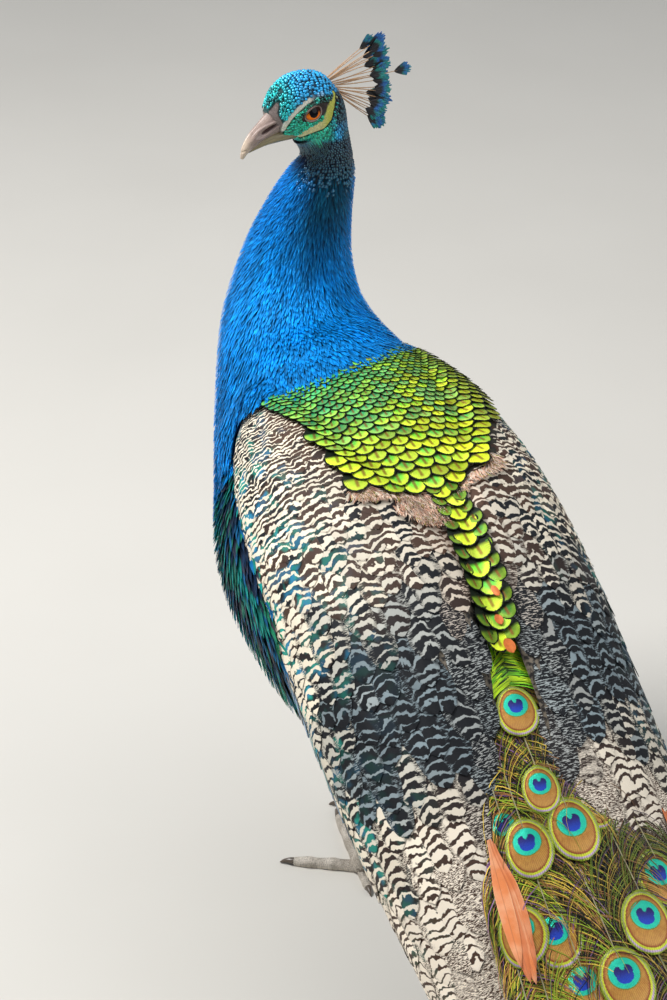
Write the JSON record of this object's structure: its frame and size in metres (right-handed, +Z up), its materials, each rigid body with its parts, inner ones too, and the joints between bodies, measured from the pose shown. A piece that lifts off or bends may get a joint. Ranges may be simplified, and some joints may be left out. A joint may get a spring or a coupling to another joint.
{
  "type": "peacock",
  "caption": "Standing Indian peacock with a fan crest, folded wings, its head turned to the left and a long train laid out behind it on the floor.",
  "frame": {"origin": "on the floor, under the middle of the whole bird's bounding box", "axes": "+X the way the breast faces, the train running to -X; +Y the bird's left; +Z up"},
  "size_m": [1.598, 0.348, 0.6641],
  "materials": {
    "plumage_body": "glossy scale-like feathers, gold-green on the mantle and blackish green below",
    "plumage_neck": "velvety cobalt-blue feathers with an azure sheen",
    "plumage_head": "short curled turquoise-blue feathers, with bare cream skin round the eyes",
    "plumage_wing": "cream feathers with wavy blackish bars",
    "plumage_primaries": "smooth rufous flight feathers",
    "plumage_train": "loose bronze-green barbs with blue and bronze eyespots",
    "plumage_tail": "stiff grey-brown feathers",
    "plumage_thigh": "soft buff-brown feathers",
    "crest": "bare tan shafts with blue-green vanes at their tips",
    "eye": "wet and glossy, brown iris with a black pupil",
    "bill": "smooth grey-brown horn with a pale tip",
    "leg": "dry grey-brown scales",
    "claw": "dark brown horn"
  },
  "bodies": {
    "root": {"trunk": "plumage_body", "neck_lower": "plumage_neck", "neck_upper": "plumage_neck", "head": "plumage_head", "eye_left": "eye", "eye_right": "eye", "bill_upper": "bill", "bill_lower": "bill", "crest": "crest", "wing_left": "plumage_wing", "wing_right": "plumage_wing", "primaries_left": "plumage_primaries", "primaries_right": "plumage_primaries", "train_root": "plumage_train", "train_upper": "plumage_train", "train_middle": "plumage_train", "train_lower": "plumage_train", "train_tip": "plumage_train", "tail": "plumage_tail", "thigh_left": "plumage_thigh", "thigh_right": "plumage_thigh", "shank_left": "leg", "shank_right": "leg", "foot_left": "leg", "foot_right": "leg", "spur_left": "claw", "spur_right": "claw", "claw_left_middle": "claw", "claw_left_inner": "claw", "claw_left_outer": "claw", "claw_left_hind": "claw", "claw_right_middle": "claw", "claw_right_inner": "claw", "claw_right_outer": "claw", "claw_right_hind": "claw"}
  },
  "joints": []
}
